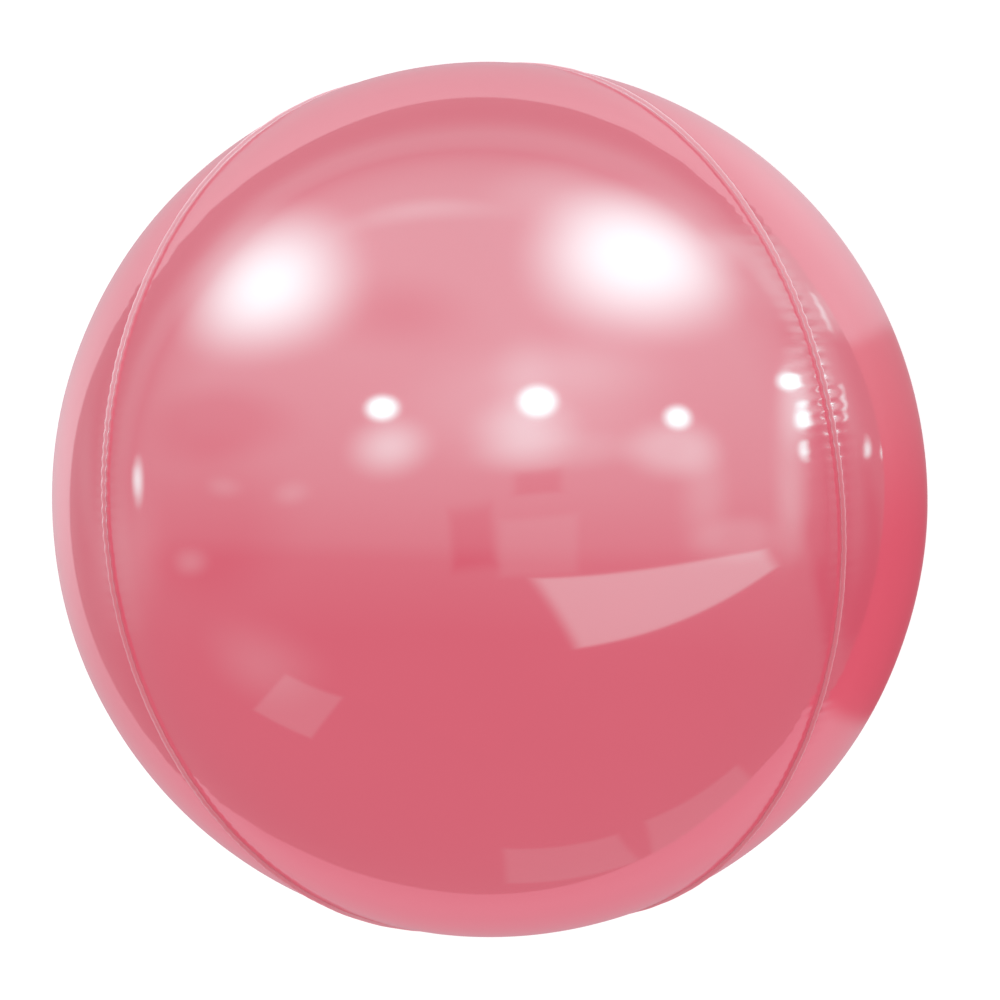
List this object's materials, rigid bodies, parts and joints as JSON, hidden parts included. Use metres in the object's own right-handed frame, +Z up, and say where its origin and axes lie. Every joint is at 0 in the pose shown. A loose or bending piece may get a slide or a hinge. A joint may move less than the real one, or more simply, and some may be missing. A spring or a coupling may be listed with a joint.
{
  "type": "foil balloon",
  "caption": "Round mirror-finish foil balloon of welded film gores with fin seams and a filling tail, lying on its side, for party and window displays.",
  "frame": {"origin": "centre of the flat spot on the underside, on the floor that the balloon lies on", "axes": "+Z up through the middle of the upper gore, +Y along the line from the filling tail's pole to the far pole, +X to the right seen from above with +Y away"},
  "size_m": [0.55, 0.565, 0.5474],
  "materials": {
    "foil_film": "mirror-gloss metallised pink film",
    "sealed_film": "flat two-ply metallised pink film with welded edges"
  },
  "bodies": {
    "root": {"gore_upper": "foil_film", "gore_right": "foil_film", "gore_lower": "foil_film", "gore_left": "foil_film", "filling_tail": "sealed_film"}
  },
  "joints": []
}
